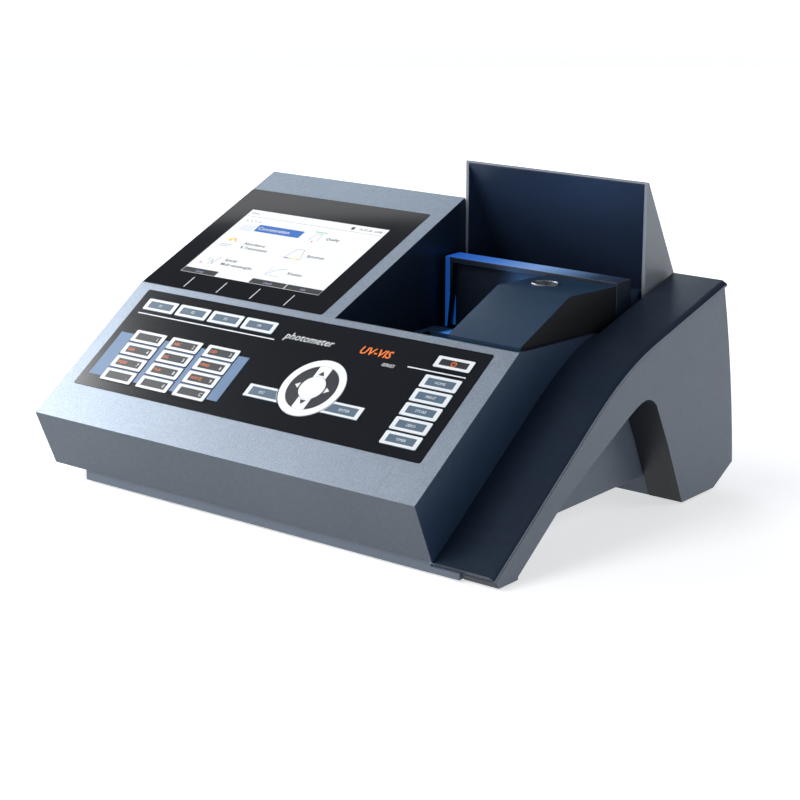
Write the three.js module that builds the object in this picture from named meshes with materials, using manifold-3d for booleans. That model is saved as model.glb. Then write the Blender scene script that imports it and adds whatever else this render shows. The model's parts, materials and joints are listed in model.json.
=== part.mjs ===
// Benchtop UV-VIS spectrophotometer with a colour display, a sloping keyboard and a hinged cell lid.
// Units are millimetres, +X is to the operator's right, +Y to the rear and +Z up.
// The side profiles are lists of [y, z] points, and most pieces are those profiles swept along X.
import * as THREE from 'three';
import { mergeVertices } from 'three/addons/utils/BufferGeometryUtils.js';
import Module from 'manifold-3d';

const wasm = await Module();
wasm.setup();

// ---- Driving dimensions ----
const WIDTH = 404;
const WALL = 3;
const GAP = 0.3;
const FRONT_BOTTOM = [-139, 10.3];
const FRONT_EDGE = [-157.2, 53.3];
const CREASE = [-43.8, 131.6];
const HOOD_TOP = [110.5, 197];
const REAR_SHOULDER = [141, 140];
const REAR_BOTTOM = [125.5, 10.3];
const HOOD_RIGHT = 193.8;
const WEDGE_RIGHT = 355.3;
const LEDGE_END = [48, 127.6];

// Base
const BASE_LEFT = 29;
const BASE_RIGHT = 375.2;
const BASE_PLATE = [18, 21];
const FOOT_HEIGHT = 1.5;
const FRONT_BAR = [-136, -111];
const REAR_BAR = [92, 128];
const BAR_SHOULDER = 9.9;
const FOOT_PAD = { radius: 7, depth: 4, xs: [64, 330], front: -123.5, rear: 114 };
const BATTERY = { x: [70, 150], y: [-45, 15], thickness: 0.9, recess: 1.2 };
const BOARD_PLACE = { x: [14, 180], y: [-72, 92], z: [26, 27.6] };
const STANDOFF = { radius: 3.5, inset: 6 };

// Deck and arched cheek at the right
const DECK_FRONT = [-137.5, 9.8];
const DECK_REAR = [144, 155.3];
const DECK_THICKNESS = 3.6;
const DECK_WALL = 359;
const CHAMFER = { width: 4, drop: 2.2, thickness: 1.6 };
const CHEEK = 3;
const FLANGE = { left: 376, thickness: 2.5 };
const LEG_REAR_BOTTOM = [162.3, 15.6];
const LEG_HEEL = [136.1, FOOT_HEIGHT];
const CHEEK_TOE = [-134.6, 5.2];
const CHEEK_FRONT = [-132, FOOT_HEIGHT];
const HEEL_CHAMFER = [158.6, 13.6];
const CHEEK_SHOULDER = [142, 153];
const CHEEK_WALL_REAR = 100;

// Cell compartment
const WELL_FLOOR = [100, 103];
const COLLAR = { left: 198.5, right: 351.5, front: 80, rear: 98, top: 157.5 };
const SILL = [[-45.5, 128.5], [-43.8, 131.4], [-40.8, 131.2], [-40.8, 97], [-43.8, 97]];
const WELL_WALL_LOW = 97;
const REAR_BLOCK = { left: 199, right: 351.5, low: 96, high: 149.5, inner: [118, 40] };
const REAR_SKIRT_TOP = [128, 31.2];
const BLOCK_SIDES = [290, 351.2];
const BLOCK_FRONT = [-37, 133.2];
const BLOCK_RIDGE = [21, 158.1];
const BLOCK_BACK = [79.6, 155];
const CELL_PORT = { x: 310.5, along: 29, ringRadius: 10.3, boreRadius: 8.5, shaftRadius: 12.5, depth: 46 };
const HOLDER = { x: [214, 282], y: [4, 46], height: 9, slotX: [221, 274], slotY: [18.5, 31.5], beamX: [240, 256] };
const COLLAR_WINDOW = { left: 205.5, right: 346, top: 153, lowLeft: 200.4, depth: 7.5 };

// Optics below and behind the compartment
const MONOCHROMATOR = { x: [206, 346], y: [-34, 92], beamX: 240, beamZ: 60, beamRadius: 5 };
const LAMP = { x: [214, 272], y: [102, 112], z: [34, 96], fins: 6, finPitch: 10, finDepth: 8 };
const DETECTOR = { x: [300, 340], y: [-22, 12], flange: 3, inset: 6, height: 16 };

// Cell lid, drawn closed
const HINGE = [81.94, 98.1];
const LID_OPEN_ANGLE = THREE.MathUtils.degToRad(87.5);
const LID_SIDES = [194.4, 355.7];
const LID_TIP = [-44.3, 132.2];
const LID_TIP_TOP = [-44, 134.1];
const LID_CREST = [88, 197];
const LID_HEEL = [141.5, 149];
const LID_RIM_END = [112, 125.4];
const PIN_RADIUS = 2;
const BOSS_RADIUS = 4.6;

// Keyboard: X from the left side, and distance down the slope from the crease
const OVERLAY = { left: 13, right: 338.1, top: 5.9, bottom: 104.7, low: -0.9, high: 0.2 };
const OVERLAY_LEDGE = 4;
const KEY = { width: 31, low: -2.2, high: 0.7, radius: 1.2, clearance: 0.35 };
const FUNCTION_KEYS = { left: 21.4, pitch: 33.2, top: 14.3, height: 11.3 };
const NUMBER_KEYS = { left: 33.4, top: 45.6, pitchX: 36.75, pitchDown: 13.07, height: 11.5 };
const COMMAND_KEYS = { left: 297.9, top: 33, pitch: 12.95, height: 11.4 };
const POWER_KEY = { top: 15.1, height: 10.4 };
const SIDE_KEYS = { left: 166.2, right: 270.2, top: 71.4, bottom: 82.9 };
const NAV = { x: 217.8, down: 64.2, outer: 26, inner: 20.3, hub: 10.4, bridge: 5.5, gap: 0.35, low: -2.9 };
const KEY_BOARD = { low: -4.9, high: -3.3 };

// Display: X from the left side, and distance down the slope from the hood's top edge
const BEZEL = { left: 0.8, right: 180.8, top: 28, bottom: 166.4, low: -1.4, high: 0.1 };
const LCD = { left: 21.5, right: 161.3, top: 54.2, bottom: 145.7, low: -9, lip: -3.3, high: -0.3, flange: 5.5 };

// Connector panel: X from the left side, and distance up the rear wall from its lower edge
const PANEL = { left: 20, right: 176, low: 25, high: 85, ledge: 6, inner: -1.4, outer: 0.6 };
const PORT_HEIGHT = 55;
const PORT_DEPTH = 12;
const PORT_FACE = 0.8;
// The rocker is drawn with its lower half pressed in, and turns about a line behind the panel's face.
const ROCKER = { pivot: -2, tilt: THREE.MathUtils.degToRad(6), halfWidth: 6 };

// ---- Colours ----
const BLUE_SILVER = { color: 0x7d8797, roughness: 0.42, metalness: 0.45 };
const SLATE = { color: 0x39424f, roughness: 0.5, metalness: 0.2 };
const BLACK = { color: 0x14161a, roughness: 0.45, metalness: 0 };
const GLASS_BLACK = { color: 0x08090b, roughness: 0.08, metalness: 0 };
const SCREEN = { color: 0xf2f5f8, roughness: 0.3, metalness: 0 };
const WHITE = { color: 0xeef0f3, roughness: 0.4, metalness: 0 };
const KEY_BLUE = { color: 0x5b7083, roughness: 0.45, metalness: 0 };
const KEY_DARK = { color: 0x23272d, roughness: 0.45, metalness: 0 };
const LID_NAVY = { color: 0x16243a, roughness: 0.45, metalness: 0.1 };
const GRAPHITE = { color: 0x2b2e33, roughness: 0.7, metalness: 0 };
const STEEL = { color: 0xb9bdc2, roughness: 0.25, metalness: 1 };
const RUBBER = { color: 0x121212, roughness: 0.9, metalness: 0 };
const BOARD = { color: 0x1f5a3a, roughness: 0.6, metalness: 0 };
const CAST = { color: 0x8b9095, roughness: 0.5, metalness: 0.8 };

// ---- Solid helpers ----
function solidOf(geometry) {
  const bare = geometry.clone();
  bare.deleteAttribute('normal');
  bare.deleteAttribute('uv');
  const merged = mergeVertices(bare, 1e-4);
  return new wasm.Manifold(new wasm.Mesh({
    numProp: 3,
    vertProperties: new Float32Array(merged.attributes.position.array),
    triVerts: new Uint32Array(merged.index.array),
  }));
}

function geometryOf(solid) {
  const mesh = solid.getMesh();
  const geometry = new THREE.BufferGeometry();
  geometry.setAttribute('position', new THREE.BufferAttribute(mesh.vertProperties, 3));
  geometry.setIndex(new THREE.BufferAttribute(mesh.triVerts, 1));
  geometry.computeVertexNormals();
  return geometry;
}

function shapeOf(points) {
  return new THREE.Shape(points.map(([a, b]) => new THREE.Vector2(a, b)));
}

// A [y, z] outline swept along X; drop lowers the end at the high X, as a chamfer does.
function slab(outline, xLow, xHigh, drop = 0, frame = new THREE.Matrix4()) {
  const geometry = new THREE.ExtrudeGeometry(shapeOf(outline), { depth: xHigh - xLow, bevelEnabled: false });
  const upright = new THREE.Matrix4().makeBasis(
    new THREE.Vector3(0, 1, 0), new THREE.Vector3(0, 0, 1), new THREE.Vector3(1, 0, 0));
  geometry.applyMatrix4(upright);
  const { position } = geometry.attributes;
  for (let i = 0; i < position.count; i += 1) {
    if (position.getX(i) > 0) position.setZ(i, position.getZ(i) - drop);
  }
  geometry.translate(xLow, 0, 0);
  geometry.applyMatrix4(frame);
  return solidOf(geometry);
}

function block(x, y, z, frame = new THREE.Matrix4()) {
  const geometry = new THREE.BoxGeometry(x[1] - x[0], y[1] - y[0], z[1] - z[0]);
  geometry.translate((x[0] + x[1]) / 2, (y[0] + y[1]) / 2, (z[0] + z[1]) / 2);
  geometry.applyMatrix4(frame);
  return solidOf(geometry);
}

// A round bar along the frame's z axis, at [x, y], from low to high.
function post(centre, radius, low, high, frame = new THREE.Matrix4(), sides = 24) {
  const geometry = new THREE.CylinderGeometry(radius, radius, high - low, sides);
  geometry.rotateX(Math.PI / 2);
  geometry.translate(centre[0], centre[1], (low + high) / 2);
  geometry.applyMatrix4(frame);
  return solidOf(geometry);
}

// A round bar along X at [y, z].
function rod(centre, radius, xLow, xHigh, sides = 20) {
  const geometry = new THREE.CylinderGeometry(radius, radius, xHigh - xLow, sides);
  geometry.rotateZ(Math.PI / 2);
  geometry.translate((xLow + xHigh) / 2, centre[0], centre[1]);
  return solidOf(geometry);
}

// A flat shape raised from low to high above a face.
function onFace(frame, shape, low, high, curveSegments = 6) {
  const geometry = new THREE.ExtrudeGeometry(shape, { depth: high - low, bevelEnabled: false, curveSegments });
  geometry.translate(0, 0, low);
  geometry.applyMatrix4(frame);
  return solidOf(geometry);
}

function union(solids) {
  return solids.reduce((sum, solid) => sum.add(solid));
}

function cut(solid, cutters) {
  return cutters.reduce((rest, cutter) => rest.subtract(cutter), solid);
}

// The line moved sideways by a distance, to the right of its direction, with mitred corners.
function offset(line, distance) {
  const normals = line.slice(1).map(([y, z], i) => {
    const along = new THREE.Vector2(y - line[i][0], z - line[i][1]).normalize();
    return new THREE.Vector2(along.y, -along.x);
  });
  return line.map(([y, z], i) => {
    const before = normals[Math.max(i - 1, 0)];
    const after = normals[Math.min(i, normals.length - 1)];
    const mitre = before.clone().add(after).multiplyScalar(distance / (1 + before.dot(after)));
    return [y + mitre.x, z + mitre.y];
  });
}

// A wall of even thickness to the right of a line, or to its left where the thickness is negative.
function band(line, thickness) {
  return [...line, ...offset(line, thickness).reverse()];
}

function heightOn(line, y) {
  const index = line.findIndex(([right], i) => i > 0 && right >= y);
  const [y0, z0] = line[index - 1];
  const [y1, z1] = line[index];
  return z0 + (z1 - z0) * (y - y0) / (y1 - y0);
}

// Where the straight lines a-b and c-d cross.
function crossing(a, b, c, d) {
  const slope = (p, q) => (q[1] - p[1]) / (q[0] - p[0]);
  const y = (c[1] - a[1] + slope(a, b) * a[0] - slope(c, d) * c[0]) / (slope(a, b) - slope(c, d));
  return [y, a[1] + slope(a, b) * (y - a[0])];
}

function roundedRectangle(left, right, low, high, radius) {
  const shape = new THREE.Shape();
  shape.absarc(right - radius, high - radius, radius, 0, Math.PI / 2);
  shape.absarc(left + radius, high - radius, radius, Math.PI / 2, Math.PI);
  shape.absarc(left + radius, low + radius, radius, Math.PI, 1.5 * Math.PI);
  shape.absarc(right - radius, low + radius, radius, 1.5 * Math.PI, 2 * Math.PI);
  shape.closePath();
  return shape;
}

// Points of a quadratic curve between two [y, z] points.
function curve(start, control, end, divisions) {
  const bend = new THREE.QuadraticBezierCurve(
    new THREE.Vector2(...start), new THREE.Vector2(...control), new THREE.Vector2(...end));
  return bend.getPoints(divisions).map((point) => [point.x, point.y]);
}

// A face's own frame: x along +X or -X, y up the slope between two [y, z] points, z outwards.
function faceFrame(low, high, xSign = 1) {
  const right = new THREE.Vector3(xSign, 0, 0);
  const up = new THREE.Vector3(0, high[0] - low[0], high[1] - low[1]).normalize();
  const out = new THREE.Vector3().crossVectors(right, up);
  return new THREE.Matrix4().makeBasis(right, up, out).setPosition(0, low[0], low[1]);
}

function span(a, b) {
  return Math.hypot(b[0] - a[0], b[1] - a[1]);
}

const keyboard = faceFrame(FRONT_EDGE, CREASE);
const keyboardLength = span(FRONT_EDGE, CREASE);
const display = faceFrame(CREASE, HOOD_TOP);
const displayLength = span(CREASE, HOOD_TOP);
const rear = faceFrame(REAR_BOTTOM, REAR_SHOULDER, -1);
const blockTop = faceFrame(BLOCK_RIDGE, BLOCK_BACK);

// ---- Curves of the right-hand cheek ----
const deckLine = [DECK_FRONT, ...curve([-25, 91.8], [12.1, 118.8], [48, 128.7], 6), DECK_REAR];
const deckRamp = [...deckLine.slice(0, -2), LEDGE_END];
const cheekTop = offset(deckLine, DECK_THICKNESS + GAP);
const legTop = [141, heightOn(cheekTop, 141)];
const legRear = curve(legTop, [157.5, 84], LEG_REAR_BOTTOM, 6);
const archLine = [
  [FRONT_BAR[1], FOOT_HEIGHT], [FRONT_BAR[1], 3.5], [-63.1, 38.6], [-17.6, 63.5], [17, 81.5],
  ...curve([28, 86.5], [44, 93.5], [53, 82.5], 5), [70, 49.8], [REAR_BAR[0], FOOT_HEIGHT],
];

// ---- Housing ----
// Key outlines on the keyboard's face, by name
function keyShapes() {
  const shapes = new Map();
  const add = (name, left, top, height, width = KEY.width) => {
    const high = keyboardLength - top;
    shapes.set(name, [left, left + width, high - height, high]);
  };
  for (let i = 0; i < 4; i += 1) {
    add(`key_f${i + 1}`, FUNCTION_KEYS.left + i * FUNCTION_KEYS.pitch, FUNCTION_KEYS.top, FUNCTION_KEYS.height);
  }
  ['1', '2', '3', '4', '5', '6', '7', '8', '9', 'point', '0', 'clear'].forEach((name, i) => {
    const column = i % 3;
    const row = (i - column) / 3;
    add(`key_${name}`, NUMBER_KEYS.left + column * NUMBER_KEYS.pitchX,
      NUMBER_KEYS.top + row * NUMBER_KEYS.pitchDown, NUMBER_KEYS.height);
  });
  ['home', 'print', 'store', 'zero', 'timer'].forEach((name, i) => {
    add(`key_${name}`, COMMAND_KEYS.left, COMMAND_KEYS.top + i * COMMAND_KEYS.pitch, COMMAND_KEYS.height);
  });
  add('key_power', COMMAND_KEYS.left, POWER_KEY.top, POWER_KEY.height);
  return shapes;
}

// A key beside the navigation ring, with its inner end following the ring; side is -1 or 1.
function sideKeyShape(side, grow) {
  const centre = [NAV.x, keyboardLength - NAV.down];
  const high = keyboardLength - SIDE_KEYS.top + grow;
  const low = keyboardLength - SIDE_KEYS.bottom - grow;
  const radius = NAV.outer + 2 * NAV.gap - grow;
  const end = side < 0 ? SIDE_KEYS.left - grow : SIDE_KEYS.right + grow;
  const reach = (y) => Math.acos((y - centre[1]) / radius);
  const [first, last] = [Math.PI / 2 - side * reach(high), Math.PI / 2 - side * reach(low)];
  const shape = new THREE.Shape();
  shape.moveTo(end, low);
  shape.lineTo(end, high);
  shape.absarc(...centre, radius, first, last, side > 0);
  shape.closePath();
  return shape;
}

// The overlay's opening for the ring and the keys on both sides of it
function navOpening() {
  const grow = KEY.clearance;
  const ring = new THREE.Shape().absarc(NAV.x, keyboardLength - NAV.down, NAV.outer + NAV.gap, 0, 2 * Math.PI);
  const low = keyboardLength - SIDE_KEYS.bottom - grow;
  const high = keyboardLength - SIDE_KEYS.top + grow;
  const ears = roundedRectangle(SIDE_KEYS.left - grow, SIDE_KEYS.right + grow, low, high, KEY.radius);
  return [ring, ears].map((shape) => onFace(keyboard, shape, OVERLAY.low - 1, OVERLAY.high + 1, 24));
}

function upperHousing() {
  const frontLine = [FRONT_BOTTOM, FRONT_EDGE, CREASE];
  const hoodLine = [CREASE, HOOD_TOP, REAR_SHOULDER, REAR_BOTTOM];
  const low = BASE_PLATE[1] + GAP;
  const ridge = REAR_BLOCK;
  const blockFront = COLLAR.rear + GAP;
  const blockLine = [[blockFront, ridge.low], [blockFront, ridge.high], REAR_SHOULDER, REAR_BOTTOM];
  const blockEnd = [...blockLine, ridge.inner, [ridge.inner[0], ridge.low]];
  const cheekRear = legRear.slice(1);
  const wellSide = [[LEDGE_END[0], WELL_WALL_LOW], [LEDGE_END[0], LEDGE_END[1] - 0.6], CHEEK_SHOULDER, ...cheekRear,
    [REAR_BOTTOM[0], low], [CHEEK_WALL_REAR, low], [CHEEK_WALL_REAR, WELL_WALL_LOW]];
  const walls = [
    slab(band(frontLine, WALL), 0, WEDGE_RIGHT),
    slab(band(hoodLine, WALL), 0, HOOD_RIGHT),
    slab([...frontLine, HOOD_TOP, REAR_SHOULDER, REAR_BOTTOM], 0, WALL),
    slab([CREASE, HOOD_TOP, REAR_SHOULDER, REAR_BOTTOM, [REAR_BOTTOM[0], low], [CREASE[0], low]],
      HOOD_RIGHT - WALL, HOOD_RIGHT),
    slab([...frontLine, LEDGE_END, ...offset(deckRamp, 2).reverse()], WEDGE_RIGHT - WALL, WEDGE_RIGHT),
    slab(SILL, HOOD_RIGHT - 1, WEDGE_RIGHT - 1),
    slab(band(blockLine, WALL), ridge.left, ridge.right),
    slab(blockEnd, ridge.left, ridge.left + WALL),
    slab(blockEnd, ridge.right - WALL, ridge.right),
    slab(band([REAR_SKIRT_TOP, REAR_BOTTOM], WALL), HOOD_RIGHT - 1, DECK_WALL + 1),
    slab(band(deckLine, DECK_THICKNESS), DECK_WALL, WIDTH - CHAMFER.width),
    slab(band(deckRamp, DECK_THICKNESS), WEDGE_RIGHT - 1, DECK_WALL),
    slab(band(deckLine, CHAMFER.thickness), WIDTH - CHAMFER.width, WIDTH, CHAMFER.drop),
    slab(wellSide, DECK_WALL, DECK_WALL + WALL),
    slab(band([CHEEK_SHOULDER, ...cheekRear], WALL), DECK_WALL, WIDTH - CHEEK - GAP),
  ];
  const down = (distance) => keyboardLength - distance;
  const overlayPocket = roundedRectangle(OVERLAY.left - GAP, OVERLAY.right + GAP,
    down(OVERLAY.bottom) - GAP, down(OVERLAY.top) + GAP, 2);
  const keyWindow = roundedRectangle(OVERLAY.left + OVERLAY_LEDGE, OVERLAY.right - OVERLAY_LEDGE,
    down(OVERLAY.bottom) + OVERLAY_LEDGE, down(OVERLAY.top) - OVERLAY_LEDGE, 2);
  const bezelPocket = roundedRectangle(BEZEL.left - GAP, BEZEL.right + GAP,
    displayLength - BEZEL.bottom - GAP, displayLength - BEZEL.top + GAP, 2);
  const lcdWindow = roundedRectangle(LCD.left - 1, LCD.right + 1,
    displayLength - LCD.bottom - 1, displayLength - LCD.top + 1, 1);
  const panelPocket = roundedRectangle(-PANEL.right - GAP, -PANEL.left + GAP, PANEL.low - GAP, PANEL.high + GAP, 3);
  const panelWindow = roundedRectangle(-PANEL.right + PANEL.ledge, -PANEL.left - PANEL.ledge,
    PANEL.low + PANEL.ledge, PANEL.high - PANEL.ledge, 3);
  return cut(union(walls), [
    onFace(keyboard, overlayPocket, OVERLAY.low - GAP, 5),
    onFace(keyboard, keyWindow, -6, 5),
    onFace(display, bezelPocket, BEZEL.low - GAP, 5),
    onFace(display, lcdWindow, -6, 5),
    onFace(rear, panelPocket, PANEL.inner - GAP, 5),
    onFace(rear, panelWindow, -6, 5),
    rod(HINGE, PIN_RADIUS + GAP, HOOD_RIGHT - WALL - 1, HOOD_RIGHT + 1),
    rod(HINGE, PIN_RADIUS + GAP, DECK_WALL - 1, DECK_WALL + WALL + 1),
  ]);
}

function lowerHousing() {
  const front = FRONT_BAR[0] + 2;
  const [underside, top] = BASE_PLATE;
  const wedgeEnd = WEDGE_RIGHT - WALL - GAP;
  const inner = offset(deckLine, DECK_THICKNESS + 2 * GAP);
  const wallFront = FRONT_BAR[1] - 2;
  const wallTop = inner.filter(([y]) => y > wallFront && y < REAR_BOTTOM[0] - 4);
  const rearLimit = REAR_BOTTOM[0] - WALL - GAP;
  const solid = union([
    block([WALL + GAP, wedgeEnd], [front, rearLimit], [underside, top]),
    block([wedgeEnd - 1, BASE_RIGHT], [wallFront, rearLimit], [underside, top]),
    slab([[FRONT_BAR[0], FOOT_HEIGHT], [FRONT_BAR[0], BAR_SHOULDER], [front, BAR_SHOULDER], [front, top],
      [FRONT_BAR[1], top], [FRONT_BAR[1], FOOT_HEIGHT]], BASE_LEFT, wedgeEnd),
    slab([[FRONT_BAR[0], FOOT_HEIGHT], [FRONT_BAR[0], 5.6], [-131, 9.2], [-119, underside],
      [FRONT_BAR[1], underside], [FRONT_BAR[1], FOOT_HEIGHT]], wedgeEnd - 1, BASE_RIGHT),
    slab([[REAR_BAR[0], FOOT_HEIGHT], [REAR_BAR[1], FOOT_HEIGHT], [REAR_BAR[1], BAR_SHOULDER],
      [rearLimit, BAR_SHOULDER], [rearLimit, top], [REAR_BAR[0], top]], BASE_LEFT, DECK_WALL - 1),
    block([DECK_WALL - 2, BASE_RIGHT], REAR_BAR, [FOOT_HEIGHT, BAR_SHOULDER]),
    block([DECK_WALL - 2, BASE_RIGHT], [REAR_BAR[0], rearLimit - 2], [BAR_SHOULDER - 1, top]),
    slab([[wallFront, underside], [wallFront, heightOn(inner, wallFront)], ...wallTop,
      [REAR_BOTTOM[0] - 4, heightOn(inner, REAR_BOTTOM[0] - 4)], [REAR_BOTTOM[0] - 4, underside]],
      BASE_RIGHT - WALL, BASE_RIGHT),
    ...standoffs().map((spot) => post(spot, STANDOFF.radius, top - 1, BOARD_PLACE.z[0] - GAP, undefined, 12)),
  ]);
  const pads = footPlaces().map(([, spot]) => post(spot, FOOT_PAD.radius + GAP, 0, FOOT_PAD.depth + GAP));
  const battery = block([BATTERY.x[0] - GAP, BATTERY.x[1] + GAP], [BATTERY.y[0] - GAP, BATTERY.y[1] + GAP],
    [underside - 1, underside + BATTERY.recess]);
  return cut(solid, [...pads, battery]);
}

// Bench feet in the two bars: name and [x, y]
function footPlaces() {
  const [left, right] = FOOT_PAD.xs;
  return [
    ['foot_front_left', [left, FOOT_PAD.front]], ['foot_front_right', [right, FOOT_PAD.front]],
    ['foot_rear_left', [left, FOOT_PAD.rear]], ['foot_rear_right', [right, FOOT_PAD.rear]],
  ];
}

function standoffs() {
  const { inset } = STANDOFF;
  return BOARD_PLACE.x.flatMap((x, i) => BOARD_PLACE.y.map((y, j) => [
    i ? x - inset : x + inset, j ? y - inset : y + inset]));
}

// The arched cheek: an outer plate with a flange round the arch and under both feet
function rightSidePanel() {
  const outerLeft = WIDTH - CHEEK;
  const plate = slab([...cheekTop.filter(([y]) => y < legTop[0]), ...legRear, LEG_HEEL,
    ...archLine.slice().reverse(), CHEEK_FRONT], outerLeft, WIDTH);
  const { left, thickness } = FLANGE;
  const frontFoot = [[FRONT_BAR[1] - 1, FOOT_HEIGHT], CHEEK_FRONT, CHEEK_TOE];
  const rearFoot = [HEEL_CHAMFER, LEG_HEEL, [REAR_BAR[0] + 1, FOOT_HEIGHT]];
  return union([
    plate,
    slab(band(archLine, -thickness), left, outerLeft + 1),
    slab(band(frontFoot, thickness - 0.5), left, outerLeft + 1),
    slab(band(rearFoot, thickness), left, outerLeft + 1),
  ]);
}

function rearPanel() {
  const plate = onFace(rear,
    roundedRectangle(-PANEL.right, -PANEL.left, PANEL.low, PANEL.high, 3), PANEL.inner, PANEL.outer);
  const holes = ports().map(({ x, width, height }) => block(
    [-x - width / 2 - GAP, -x + width / 2 + GAP],
    [PORT_HEIGHT - height / 2 - GAP, PORT_HEIGHT + height / 2 + GAP], [-4, 4], rear));
  return cut(plate, holes);
}

// Connectors and the mains switch: centre from the left side, and the size of the hole
function ports() {
  return [
    { name: 'power_switch', x: 44, width: 13, height: 18.4 },
    { name: 'power_inlet', x: 70, width: 13, height: 13 },
    { name: 'usb_a_port', x: 97, width: 14.4, height: 7.2 },
    { name: 'usb_b_port', x: 122, width: 12, height: 11 },
    { name: 'lan_port', x: 149, width: 16, height: 13.6 },
  ];
}

// A metal connector shell with a socket in its face and a contact tongue inside
function connector({ x, width, height }, socket, tongue) {
  const shell = block([-x - width / 2, -x + width / 2],
    [PORT_HEIGHT - height / 2, PORT_HEIGHT + height / 2], [-PORT_DEPTH, PORT_FACE], rear);
  const pocket = block([-x - socket[0] / 2, -x + socket[0] / 2],
    [PORT_HEIGHT - socket[1] / 2, PORT_HEIGHT + socket[1] / 2], [-PORT_DEPTH + 2, PORT_FACE + 1], rear);
  const contact = block([-x - tongue[0] / 2, -x + tongue[0] / 2],
    [PORT_HEIGHT + tongue[2] - tongue[1] / 2, PORT_HEIGHT + tongue[2] + tongue[1] / 2],
    [-PORT_DEPTH + 1, -1.5], rear);
  return shell.subtract(pocket).add(contact);
}

function powerInlet({ x, width, height }) {
  const shell = block([-x - width / 2, -x + width / 2],
    [PORT_HEIGHT - height / 2, PORT_HEIGHT + height / 2], [-PORT_DEPTH, PORT_FACE], rear);
  const centre = [-x, PORT_HEIGHT];
  return shell
    .subtract(post(centre, 4.2, -PORT_DEPTH + 2, PORT_FACE + 1, rear))
    .add(post(centre, 1, -PORT_DEPTH + 1, -1, rear, 12));
}

function powerSwitch({ x }) {
  const outline = [[-8.5, 2.4], [0, 1.2], [8.5, 2.4], [7, -6], [-7, -6]];
  const [sin, cos] = [Math.sin(ROCKER.tilt), Math.cos(ROCKER.tilt)];
  const tilted = outline.map(([up, out]) => [
    PORT_HEIGHT + up * cos - (out - ROCKER.pivot) * sin, ROCKER.pivot + up * sin + (out - ROCKER.pivot) * cos]);
  return slab(tilted, -x - ROCKER.halfWidth, -x + ROCKER.halfWidth, 0, rear);
}

// ---- Display and keyboard ----
function displayBezel() {
  const y = (distance) => displayLength - distance;
  const plate = onFace(display,
    roundedRectangle(BEZEL.left, BEZEL.right, y(BEZEL.bottom), y(BEZEL.top), 1.6), BEZEL.low, BEZEL.high);
  return plate.subtract(block([LCD.left, LCD.right], [y(LCD.bottom), y(LCD.top)], [-5, 5], display));
}

function lcdScreen() {
  const y = (distance) => displayLength - distance;
  const { left, right, top, bottom, low, lip, high, flange } = LCD;
  return union([
    block([left + GAP, right - GAP], [y(bottom) + GAP, y(top) - GAP], [lip - 1, high], display),
    block([left - flange, right + flange], [y(bottom) - flange, y(top) + flange], [low, lip], display),
  ]);
}

function keypadOverlay(keys) {
  const down = (distance) => keyboardLength - distance;
  const plate = onFace(keyboard,
    roundedRectangle(OVERLAY.left, OVERLAY.right, down(OVERLAY.bottom), down(OVERLAY.top), 1.8),
    OVERLAY.low, OVERLAY.high);
  const grow = KEY.clearance;
  const holes = [...keys.values()].map(([left, right, low, high]) => onFace(keyboard,
    roundedRectangle(left - grow, right + grow, low - grow, high + grow, KEY.radius + grow),
    OVERLAY.low - 1, OVERLAY.high + 1, 2));
  return cut(plate, [...holes, ...navOpening()]);
}

function keypadBoard() {
  const inset = 1.5;
  return block([OVERLAY.left + inset, OVERLAY.right - inset],
    [keyboardLength - OVERLAY.bottom + inset, keyboardLength - OVERLAY.top - inset],
    [KEY_BOARD.low, KEY_BOARD.high], keyboard);
}

// A piece of the navigation pad's annulus between the hub and the ring; turn is its middle direction.
function arrowShape(turn, onBridge) {
  const inner = NAV.hub + NAV.gap;
  const outer = NAV.inner - NAV.gap;
  const halfAngle = (radius) => (onBridge
    ? Math.asin(NAV.bridge / radius)
    : Math.acos((NAV.bridge + NAV.gap) / radius));
  const shape = new THREE.Shape();
  const centre = [NAV.x, keyboardLength - NAV.down];
  shape.absarc(...centre, outer, turn - halfAngle(outer), turn + halfAngle(outer), false);
  shape.absarc(...centre, inner, turn + halfAngle(inner), turn - halfAngle(inner), true);
  shape.closePath();
  return shape;
}

function navRing() {
  const shape = new THREE.Shape().absarc(NAV.x, keyboardLength - NAV.down, NAV.outer, 0, 2 * Math.PI);
  shape.holes.push(new THREE.Path().absarc(NAV.x, keyboardLength - NAV.down, NAV.inner, 0, 2 * Math.PI));
  return onFace(keyboard, shape, NAV.low, KEY.high, 24);
}

// ---- Cell compartment ----
function compartmentFloor() {
  const plate = block([LID_SIDES[0], BLOCK_SIDES[1]], [-40.5, COLLAR.front - GAP], WELL_FLOOR);
  const armNotch = block([LID_SIDES[0] - 1, COLLAR.left - GAP], [74.5, COLLAR.front], [99, 104]);
  return plate.subtract(armNotch);
}

function cellBlock() {
  const low = WELL_FLOOR[1] + GAP;
  const rearFace = BLOCK_BACK[0];
  const profile = [[BLOCK_FRONT[0], low], BLOCK_FRONT, BLOCK_RIDGE, BLOCK_BACK, [rearFace, low]];
  const outer = slab(profile, ...BLOCK_SIDES);
  const roof = offset([BLOCK_FRONT, BLOCK_RIDGE, BLOCK_BACK], WALL);
  const hollow = slab([[BLOCK_FRONT[0] + WALL, low - 1], [BLOCK_FRONT[0] + WALL, roof[0][1]], roof[1],
    [rearFace - WALL, roof[2][1]], [rearFace - WALL, low - 1]], BLOCK_SIDES[0] + WALL, BLOCK_SIDES[1] - WALL);
  const place = [CELL_PORT.x, CELL_PORT.along];
  return outer.subtract(hollow)
    .add(post(place, CELL_PORT.shaftRadius, -CELL_PORT.depth - WALL, -1, blockTop, 32))
    .subtract(post(place, CELL_PORT.boreRadius, -CELL_PORT.depth, 2, blockTop, 32))
    .subtract(post(place, CELL_PORT.ringRadius + GAP, -2.3, 2, blockTop, 32));
}

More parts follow.
